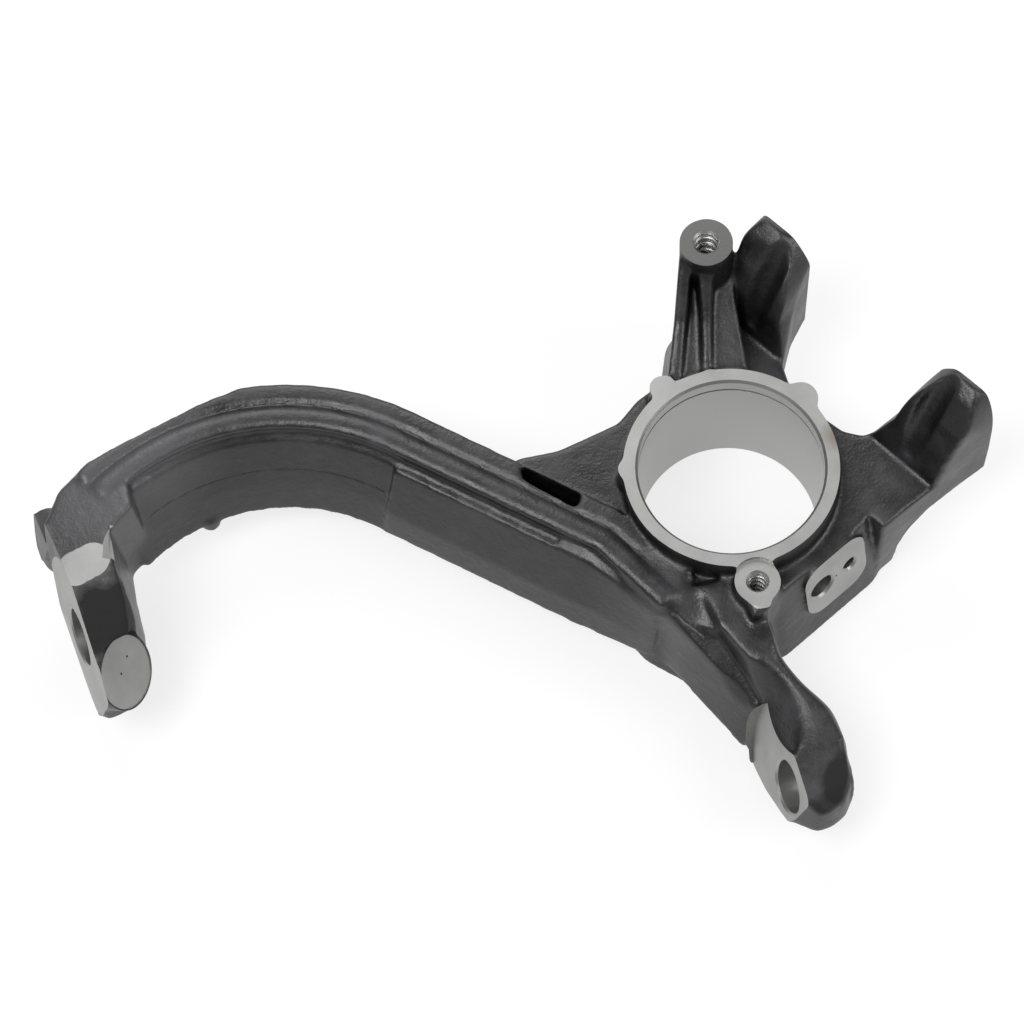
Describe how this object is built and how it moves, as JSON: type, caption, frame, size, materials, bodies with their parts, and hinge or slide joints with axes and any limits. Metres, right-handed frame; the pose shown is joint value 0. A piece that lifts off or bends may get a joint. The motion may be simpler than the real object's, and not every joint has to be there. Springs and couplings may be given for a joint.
{
  "type": "steering knuckle",
  "caption": "Cast iron front steering knuckle: bearing ring, long hooked neck to the upper ball joint, short steering arm, two caliper ears, bracket post and sensor pad.",
  "frame": {"origin": "centre of the bearing bore in the ring's machined face", "axes": "+Z along the wheel bearing's axis, out of the face in view in the picture; the neck runs out along -X, the steering arm along -Y"},
  "size_m": [0.4213, 0.2796, 0.11],
  "materials": {
    "casting": "satin black coated cast skin with bright machined faces"
  },
  "bodies": {
    "root": {"knuckle": "casting"}
  },
  "joints": []
}
